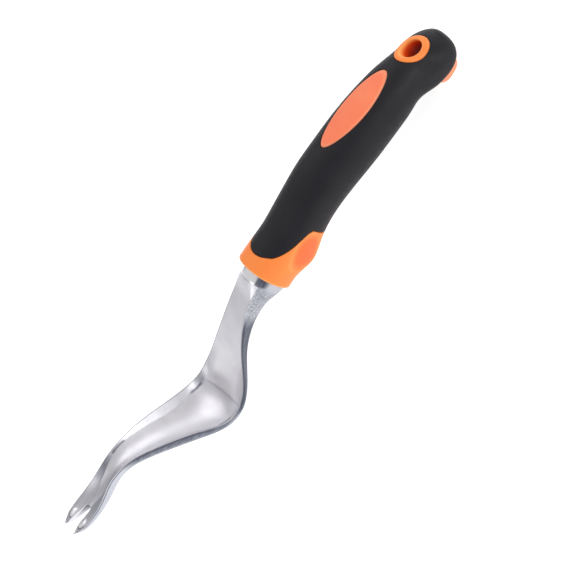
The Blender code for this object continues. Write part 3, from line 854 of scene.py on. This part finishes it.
def pad_outline(grow):
    """Outline of the thumb pad from above, grown all round, as (x, y)."""
    start = PAD_FRONT_X - grow
    end = PAD_REAR_X + grow
    t = (1 - np.cos(math.pi * np.arange(1, PAD_STEPS) / PAD_STEPS)) / 2
    x = start + (end - start) * t
    y = almond(t, grow)
    xs = np.concatenate([[start], x, [end], x[::-1]])
    ys = np.concatenate([[0.0], y, [0.0], -y[::-1]])
    return xs, ys


def grip_rings():
    """Rings of the grip: forward along its inside, over its rolled front edge, back to the tail."""
    front = grip_front(ANGLES)
    inner_end = CORE_END_X + GAP
    rings = []
    for t in np.linspace(1, 0, INNER_ROWS + 1):
        rings.append(handle_points(front + (inner_end - front) * t, ANGLES, GRIP_THICKNESS))
    for turn in quarter_turn(GRIP_LIP_STEPS):
        inset = GRIP_LIP * (1 - math.sin(turn))
        rings.append(handle_points(front + GRIP_LIP * (1 - math.cos(turn)), ANGLES, inset))
    start = front + GRIP_LIP
    for t in np.linspace(0, 1, GRIP_ROWS + 1)[1:-1]:
        share = math.sin(math.pi / 2 * t) ** TAIL_SPACING
        rings.append(handle_points(start + (TAIL_X - start) * share, ANGLES))
    return rings


def make_grip(material):
    """Soft sleeve with a rolled front edge, a window for the thumb pad and the hang hole."""
    obj = build("grip_overmould_visual", *skin(grip_rings()))
    cut(obj, *prism(*pad_outline(GAP), *WINDOW_CUT))
    cut(obj, *prism(*hole_circle(BUSH_RADIUS + GAP, HOLE_CUT_SIDES), *HOLE_CUT))
    soften(obj, GRIP_EDGE, GRIP_EDGE_ANGLE)
    finish_shading(obj.data, SHARP)
    add_piece(obj, "grip_overmould", material)


def make_pad(material):
    """Thumb pad, faintly proud and rolled down at its edge."""
    xs, ys = pad_outline(0.0)
    middle = (PAD_FRONT_X + PAD_REAR_X) / 2
    rings = []
    for share in PAD_FLOOR_SHARES:
        x, y = middle + (xs - middle) * share, ys * share
        rings.append(ring_at(x, y, handle_height(x, y, GRIP_THICKNESS - GAP)))
    for sink, share, _ in PAD_PROFILE:
        x, y = middle + (xs - middle) * share, ys * share
        rings.append(ring_at(x, y, handle_height(x, y) - sink))
    obj = build("thumb_pad_visual", *skin(rings), PAD_SHARP)
    # Painted light along the thumb pad's edge
    tones = [1.0] * len(PAD_FLOOR_SHARES) + [tone for _, _, tone in PAD_PROFILE]
    paint(obj, "edge", np.repeat(tones, len(xs)))
    add_piece(obj, "thumb_pad", material)


def hole_circle(radius, sides=BUSH_SIDES):
    """Circle round the hang hole's axis, as (x, y)."""
    around = full_turn(sides)
    return HOLE_X + radius * np.cos(around), radius * np.sin(around)


def bush_rings():
    """Rings of the bush: its two lower edges, its outside and rim, then down its bore."""
    rings = []
    for radius in (HOLE_RADIUS, BUSH_RADIUS):
        x, y = hole_circle(radius)
        rings.append(ring_at(x, y, handle_base(x, y)))
    for radius, rise, _ in BUSH_PROFILE:
        x, y = hole_circle(radius)
        rings.append(ring_at(x, y, handle_height(x, y) + rise))
    x, y = hole_circle(HOLE_RADIUS)
    for t in np.linspace(0, 1, BORE_STEPS + 1)[1:-1]:
        rings.append(ring_at(x, y, (handle_height(x, y) - BORE_DROP) * (1 - t) + handle_base(x, y) * t))
    return rings


def make_bush(material):
    """Liner of the hang hole with a rounded rim laid over the sloping top."""
    obj = build("hang_hole_bush_visual", *skin(bush_rings(), closed=True), BUSH_SHARP)
    bore = BORE_STEPS - 1
    # Painted light round the mouth of the bore
    edge = np.concatenate([[0.0, 0.0], [tone for _, _, tone in BUSH_PROFILE], np.zeros(bore)])
    # Painted shade down the bore and under the bush's lower edges
    depth = np.concatenate([[1.0, 1.0], np.zeros(len(BUSH_PROFILE)), np.linspace(*BORE_DEPTHS, bore)])
    paint(obj, "edge", np.repeat(edge, BUSH_SIDES))
    paint(obj, "depth", np.repeat(depth, BUSH_SIDES))
    add_piece(obj, "hang_hole_bush", material)


def foot_outline(size, trim=0.0):
    """Outline of the tail pad from above, as (x, y): its size as a share, then trimmed all round."""
    around = full_turn(BUSH_SIDES)

    def along(part, half):
        return np.sign(part) * np.abs(part) ** (2 / FOOT_POWER) * (half * size - trim)

    return FOOT_X + along(np.cos(around), FOOT_HALF_LENGTH), along(np.sin(around), FOOT_HALF_WIDTH)


def make_tail_pad(material):
    """Pad round the hole's lower mouth: flat below, fitted to the grip's underside above."""
    rings = [ring_at(*hole_circle(radius), z) for radius, z in FOOT_MOUTH]
    rings += [ring_at(*foot_outline(FOOT_TAPER, trim), z) for trim, z in FOOT_EDGE]
    mouth = np.array(hole_circle(HOLE_RADIUS))
    outline = np.array(foot_outline(1.0))
    for share in np.linspace(1, 0, FOOT_STEPS + 1):
        x, y = mouth + (outline - mouth) * share
        rings.append(ring_at(x, y, handle_base(x, y) - GAP))
    obj = build("tail_pad_visual", *skin(rings, closed=True), TAIL_PAD_SHARP)
    # Painted light over the whole tail pad
    paint(obj, "edge", np.ones(len(rings) * BUSH_SIDES))
    add_piece(obj, "tail_pad", material)


# ---------------------------------------------------------------- materials

class Nodes:
    """Short hand for building one material's node tree."""

    def __init__(self, name):
        self.material = bpy.data.materials.new(name)
        self.material.use_nodes = True
        self.tree = self.material.node_tree
        self.shader = self.tree.nodes["Principled BSDF"]
        self.coords = self.tree.nodes.new("ShaderNodeTexCoord").outputs["Object"]

    def link(self, source, target):
        self.tree.links.new(source, target)

    def noise(self, scale, detail=3.0, roughness=0.5, stretch=(1, 1, 1)):
        """Noise of features about 1/scale metres wide, from 0 to 1."""
        mapping = self.tree.nodes.new("ShaderNodeMapping")
        mapping.inputs["Scale"].default_value = stretch
        self.link(self.coords, mapping.inputs["Vector"])
        node = self.tree.nodes.new("ShaderNodeTexNoise")
        node.inputs["Scale"].default_value = scale
        node.inputs["Detail"].default_value = detail
        node.inputs["Roughness"].default_value = roughness
        self.link(mapping.outputs["Vector"], node.inputs["Vector"])
        return node.outputs["Fac"]

    def cloud(self, scale, detail=3.0, roughness=0.5, low=0.0, high=1.0):
        """Noise with its middle part spread from low to high."""
        return self.remap(self.noise(scale, detail, roughness), 0.3, 0.7, low, high)

    def attribute(self, name):
        """One of the numbers painted on the points."""
        node = self.tree.nodes.new("ShaderNodeAttribute")
        node.attribute_name = name
        return node.outputs["Fac"]

    def remap(self, source, low, high, new_low, new_high):
        """Map a range of a value to another, clamped."""
        node = self.tree.nodes.new("ShaderNodeMapRange")
        for key, value in (("From Min", low), ("From Max", high), ("To Min", new_low), ("To Max", new_high)):
            node.inputs[key].default_value = value
        self.link(source, node.inputs["Value"])
        return node.outputs["Result"]

    def math(self, operation, first, second):
        """Arithmetic on two values or sockets."""
        node = self.tree.nodes.new("ShaderNodeMath")
        node.operation = operation
        for socket, value in zip(node.inputs, (first, second)):
            if isinstance(value, (int, float)):
                socket.default_value = value
            else:
                self.link(value, socket)
        return node.outputs["Value"]

    def mix(self, factor, first, second):
        """Mix two colours, each a tuple or a socket."""
        node = self.tree.nodes.new("ShaderNodeMix")
        node.data_type = "RGBA"
        self.link(factor, node.inputs["Factor"])
        for socket, value in ((node.inputs[6], first), (node.inputs[7], second)):
            if isinstance(value, tuple):
                socket.default_value = (*value, 1.0)
            else:
                self.link(value, socket)
        return node.outputs[2]

    def bump(self, height, distance, normal=None):
        """Bump from a height of 0 to 1 that stands for a distance in millimetres."""
        node = self.tree.nodes.new("ShaderNodeBump")
        node.inputs["Distance"].default_value = distance * MM
        node.inputs["Strength"].default_value = 1.0
        self.link(height, node.inputs["Height"])
        if normal is not None:
            self.link(normal, node.inputs["Normal"])
        return node.outputs["Normal"]

    def connect(self, colour, roughness, normal):
        """Join the results to the shader."""
        self.link(colour, self.shader.inputs["Base Color"])
        self.link(roughness, self.shader.inputs["Roughness"])
        self.link(normal, self.shader.inputs["Normal"])
        return self.material


# Colours as linear red, green and blue; the two of a pair are mixed by a cloudy noise
METAL_TOP = ((0.70, 0.69, 0.715), (0.79, 0.775, 0.80))
# Painted reflection: the flanks' darker, bluer colour
METAL_FLANK_REFLECTION = ((0.50, 0.51, 0.56), (0.60, 0.61, 0.66))
# Painted light on the fold beside the heel
METAL_FOLD_LIGHT = (0.97, 0.95, 0.96)
METAL_SHADE = (0.09, 0.105, 0.145)
METAL_MOTTLE = (0.17, 0.18, 0.21)
# Painted shade in creases, under the lip, along the rim, on the notch's walls and round the facets and nail
METAL_CREASE_SHADE = (0.085, 0.09, 0.115)
# Painted highlight on the polished facets and nail
METAL_POLISH_HIGHLIGHT = (0.97, 0.97, 0.97)
ORANGE = ((1.0, 0.25, 0.05), (1.0, 0.285, 0.06))
# Painted shade in the finger recesses
ORANGE_RECESS_SHADE = (1.0, 0.15, 0.035)
# Painted light on the collar's front rim and the bush's mouth
ORANGE_EDGE_LIGHT = (1.0, 0.42, 0.12)
# Painted highlight on the ridge round each recess
ORANGE_RIDGE_HIGHLIGHT = (1.0, 0.40, 0.13)
# Painted shade down the hang hole's bore
ORANGE_BORE_SHADE = (0.85, 0.085, 0.006)
ORANGE_DEEP_SHADE = (0.16, 0.0, 0.0)
CORAL = ((0.98, 0.20, 0.085), (1.0, 0.245, 0.105))
# Painted light on the thumb pad's edge and the tail pad
CORAL_EDGE_LIGHT = (1.0, 0.34, 0.17)
BLACK = ((0.0080, 0.0076, 0.0100), (0.0120, 0.0112, 0.0145))
# Scale of the noise that mottles the painted shade on the flanks, so that it runs along the tool
STREAK_STRETCH = (0.12, 1.0, 0.6)


def aluminium_material():
    """Cast and tumbled aluminium: ground top and mottled as-cast neck, with a painted darker, bluer
    reflection on the flanks, painted shade in the creases and scoop, and painted highlights and light on the
    facets, nail and fold.
    """
    n = Nodes("cast_aluminium_visual")
    n.shader.inputs["Metallic"].default_value = 1.0
    cloud = n.cloud(70.0, 4.0, 0.6)
    # Flanks painted darker and bluer, a painted reflection
    colour = n.mix(n.attribute("flank"), n.mix(cloud, *METAL_TOP), n.mix(cloud, *METAL_FLANK_REFLECTION))
    # Painted light on the fold beside the heel
    colour = n.mix(n.attribute("fold"), colour, METAL_FOLD_LIGHT)
    streaks = n.remap(n.noise(900.0, 4.0, 0.65, STREAK_STRETCH), 0.35, 0.65, 0.62, 1.0)
    # Painted shade, streaked along the tool
    colour = n.mix(n.math("MULTIPLY", n.attribute("shade"), streaks), colour, METAL_SHADE)
    mottle = n.remap(n.noise(1300.0, 2.0, 0.6), 0.42, 0.6, 0.0, 0.65)
    mottle = n.math("MULTIPLY", n.attribute("cast"), mottle)
    colour = n.mix(mottle, colour, METAL_MOTTLE)
    # Painted shade in creases, under the lip, along the rim, on the notch's walls and round the facets and
    # nail
    colour = n.mix(n.remap(n.attribute("crease"), 0.1, 0.9, 0.0, 0.9), colour, METAL_CREASE_SHADE)
    # Painted highlight on the polished facets and nail
    colour = n.mix(n.math("MULTIPLY", n.attribute("polish_and_highlight"), 0.8), colour, METAL_POLISH_HIGHLIGHT)
    rough = n.cloud(160.0, 5.0, 0.65, low=0.36, high=0.5)
    rough = n.math("SUBTRACT", rough, n.math("MULTIPLY", n.attribute("polish_and_highlight"), 0.22))
    swell = n.bump(n.noise(45.0, 2.0), 0.3)
    pits = n.bump(mottle, 0.18, swell)
    grain = n.bump(n.noise(1500.0, 3.0, 0.6), 0.012, pits)
    return n.connect(colour, rough, grain)


def orange_material():
    """Moulded orange polypropylene, with painted light on the rims, a painted highlight on the ridges round
    the recesses, and painted shade in the recesses and down the bore.
    """
    n = Nodes("orange_plastic_visual")
    n.shader.inputs["Specular IOR Level"].default_value = 0.3
    cloud = n.cloud(90.0)
    colour = n.mix(cloud, *ORANGE)
    # Painted shade in the finger recesses
    colour = n.mix(n.remap(n.attribute("recess"), 0.0, 1.0, 0.0, 0.9), colour, ORANGE_RECESS_SHADE)
    # Painted light on the collar's front rim and the bush's mouth
    colour = n.mix(n.remap(n.attribute("edge"), 0.0, 1.0, 0.0, 0.9), colour, ORANGE_EDGE_LIGHT)
    # Painted highlight on the ridge round each recess
    colour = n.mix(n.remap(n.attribute("ridge"), 0.0, 1.0, 0.0, 0.5), colour, ORANGE_RIDGE_HIGHLIGHT)
    # Painted shade down the hang hole's bore
    colour = n.mix(n.remap(n.attribute("depth"), 0.02, 0.12, 0.0, 1.0), colour, ORANGE_BORE_SHADE)
    colour = n.mix(n.remap(n.attribute("depth"), 0.15, 0.7, 0.0, 1.0), colour, ORANGE_DEEP_SHADE)
    rough = n.cloud(500.0, low=0.38, high=0.5)
    grain = n.bump(n.noise(2600.0, 2.0), 0.02)
    return n.connect(colour, rough, grain)


def coral_material():
    """Matte orange elastomer of the thumb pad and the tail pad, with painted light along the thumb pad's
    edge and over all of the tail pad.
    """
    n = Nodes("orange_rubber_visual")
    cloud = n.cloud(60.0)
    colour = n.mix(cloud, *CORAL)
    # Painted light on the thumb pad's edge and the tail pad
    colour = n.mix(n.remap(n.attribute("edge"), 0.0, 1.0, 0.0, 0.8), colour, CORAL_EDGE_LIGHT)
    rough = n.cloud(700.0, low=0.5, high=0.62)
    grain = n.bump(n.noise(2200.0, 2.0), 0.03)
    return n.connect(colour, rough, grain)


def rubber_material():
    """Black elastomer grip with a faint mould grain and a soft sheen."""
    n = Nodes("black_rubber_visual")
    n.shader.inputs["Specular IOR Level"].default_value = 0.27
    cloud = n.cloud(45.0, 4.0, 0.6)
    colour = n.mix(cloud, *BLACK)
    rough = n.cloud(350.0, 4.0, 0.6, low=0.46, high=0.6)
    grain = n.bump(n.noise(1900.0, 3.0), 0.035, n.bump(n.noise(120.0, 2.0), 0.12))
    return n.connect(colour, rough, grain)


# ---------------------------------------------------------------- stage

# Camera: what it faces, how far the direction to it leans to the tail, its angle above the near
# side, and how the picture is turned
AIM = place((-5.08, 0.0, 7.38))
VIEW_LEAN = 0.27
VIEW_PHI = math.radians(49.0)
VIEW_ROLL = math.radians(57.7)
VIEW_TILT = math.radians(0.21)
VIEW_DISTANCE = 1.0
LENS = 117.5
SENSOR = 36.0
CLIP_END = 20.0
# Dark parts of the studio: direction, cosines where they begin and are full, colour
DARK_PATCHES = (
    ((0.05, -0.86, 0.5), 0.80, 0.94, (0.16, 0.18, 0.25)),
    ((0.12, 0.98, 0.16), 0.80, 0.96, (0.36, 0.36, 0.40)),
)
# Colour of the surround by the upward part of the direction: upward part, colour
SKY_LOW = (0.0, (0.92, 0.93, 0.96))
SKY_MIDDLE = (0.28, (0.86, 0.87, 0.90))
SKY_HIGH = (0.75, (0.78, 0.78, 0.80))
SKY_STRENGTH = 0.8
# Area lights: name, place, what it faces, side, power in watts
LIGHTS = (
    ("key", (0.5, 0.72, 0.78), (-0.05, 0.0, 0.0), 1.3, 5.2),
    ("left", (-1.2, -0.2, 0.8), (0.0, 0.0, 0.0), 0.9, 4.0),
    ("front", (0.6, -1.0, 0.35), (0.0, 0.0, 0.0), 0.7, 5.0),
)
GROUND_HALF_SIZE = 3.0
GROUND_Z = -0.0003
GROUND_TONE = 0.5
GROUND_GLOW = 0.8


def make_camera():
    """Camera at the photograph's angle: the tool runs up to the right, seen from above its near side."""
    side = math.sqrt(1 - VIEW_LEAN ** 2)
    toward = Vector((VIEW_LEAN, -side * math.cos(VIEW_PHI), side * math.sin(VIEW_PHI)))
    turn = Matrix.Rotation(-VIEW_TILT, 3, "Y")
    along = (Vector((1, 0, 0)) - toward * toward.x).normalized()
    across = toward.cross(along)
    right = turn @ (along * math.cos(VIEW_ROLL) - across * math.sin(VIEW_ROLL))
    up = turn @ (along * math.sin(VIEW_ROLL) + across * math.cos(VIEW_ROLL))
    toward = turn @ toward
    data = bpy.data.cameras.new("camera")
    data.lens = LENS
    data.sensor_width = SENSOR
    data.clip_end = CLIP_END
    camera = bpy.data.objects.new("camera", data)
    basis = Matrix((right, up, toward)).transposed()
    camera.matrix_world = Matrix.Translation(Vector(AIM) + toward * VIEW_DISTANCE) @ basis.to_4x4()
    bpy.context.scene.collection.objects.link(camera)
    bpy.context.scene.camera = camera


def area_light(name, spot, target, size, power):
    """Square white area light at a spot, facing a target."""
    data = bpy.data.lights.new(name, "AREA")
    data.size = size
    data.energy = power
    light = bpy.data.objects.new(name, data)
    facing = (Vector(target) - Vector(spot)).to_track_quat("-Z", "Y")
    light.matrix_world = Matrix.Translation(spot) @ facing.to_matrix().to_4x4()
    bpy.context.scene.collection.objects.link(light)


def dark_patch(tree, direction, colour, toward, soft, hard, tone):
    """Blend a round dark patch over a colour of the surround."""
    facing = tree.nodes.new("ShaderNodeVectorMath")
    facing.operation = "DOT_PRODUCT"
    facing.inputs[1].default_value = toward
    tree.links.new(direction, facing.inputs[0])
    patch = tree.nodes.new("ShaderNodeMapRange")
    patch.interpolation_type = "SMOOTHSTEP"
    patch.inputs["From Min"].default_value = soft
    patch.inputs["From Max"].default_value = hard
    tree.links.new(facing.outputs["Value"], patch.inputs["Value"])
    blend = tree.nodes.new("ShaderNodeMix")
    blend.data_type = "RGBA"
    tree.links.new(patch.outputs["Result"], blend.inputs["Factor"])
    tree.links.new(colour, blend.inputs[6])
    blend.inputs[7].default_value = (*tone, 1.0)
    return blend.outputs[2]


def sky(tree, direction):
    """Near-white surround, a little darker towards the top."""
    split = tree.nodes.new("ShaderNodeSeparateXYZ")
    ramp = tree.nodes.new("ShaderNodeValToRGB")
    tree.links.new(direction, split.inputs["Vector"])
    tree.links.new(split.outputs["Z"], ramp.inputs["Fac"])
    stops = ramp.color_ramp.elements
    for stop, (place_on_ramp, tone) in ((stops[0], SKY_LOW), (stops[1], SKY_HIGH)):
        stop.position = place_on_ramp
        stop.color = (*tone, 1.0)
    stops.new(SKY_MIDDLE[0]).color = (*SKY_MIDDLE[1], 1.0)
    return ramp.outputs["Color"]


def make_world():
    """Near-white surround with a dark patch on the tool's near side and a grey one beyond it."""
    world = bpy.data.worlds.new("studio")
    world.use_nodes = True
    tree = world.node_tree
    background = tree.nodes["Background"]
    direction = tree.nodes.new("ShaderNodeTexCoord").outputs["Generated"]
    colour = sky(tree, direction)
    for patch in DARK_PATCHES:
        colour = dark_patch(tree, direction, colour, *patch)
    tree.links.new(colour, background.inputs["Color"])
    background.inputs["Strength"].default_value = SKY_STRENGTH
    bpy.context.scene.world = world


def make_ground():
    """Plain ground that glows white, just below the plane the tool rests on."""
    size = GROUND_HALF_SIZE
    mesh = bpy.data.meshes.new("floor")
    corners = [(-size, -size), (size, -size), (size, size), (-size, size)]
    mesh.from_pydata([(x, y, GROUND_Z) for x, y in corners], [], [(0, 1, 2, 3)])
    floor = bpy.data.objects.new("floor", mesh)
    bpy.context.scene.collection.objects.link(floor)
    n = Nodes("floor_white")
    n.shader.inputs["Base Color"].default_value = (GROUND_TONE, GROUND_TONE, GROUND_TONE, 1.0)
    n.shader.inputs["Roughness"].default_value = 0.9
    n.shader.inputs["Specular IOR Level"].default_value = 0.1
    n.shader.inputs["Emission Color"].default_value = (1.0, 1.0, 1.0, 1.0)
    n.shader.inputs["Emission Strength"].default_value = GROUND_GLOW
    mesh.materials.append(n.material)


def make_lights():
    """Broad key light from above and beyond, with smaller ones from the tip's end and the near side."""
    for light in LIGHTS:
        area_light(*light)


def main():
    """Make the pieces, then the stage."""
    metal = aluminium_material()
    orange = orange_material()
    coral = coral_material()
    rubber = rubber_material()
    make_head(metal)
    make_core(orange)
    make_grip(rubber)
    make_pad(coral)
    make_bush(orange)
    make_tail_pad(coral)
    make_camera()
    make_world()
    make_ground()
    make_lights()
    bpy.context.scene.view_settings.view_transform = "Standard"


main()
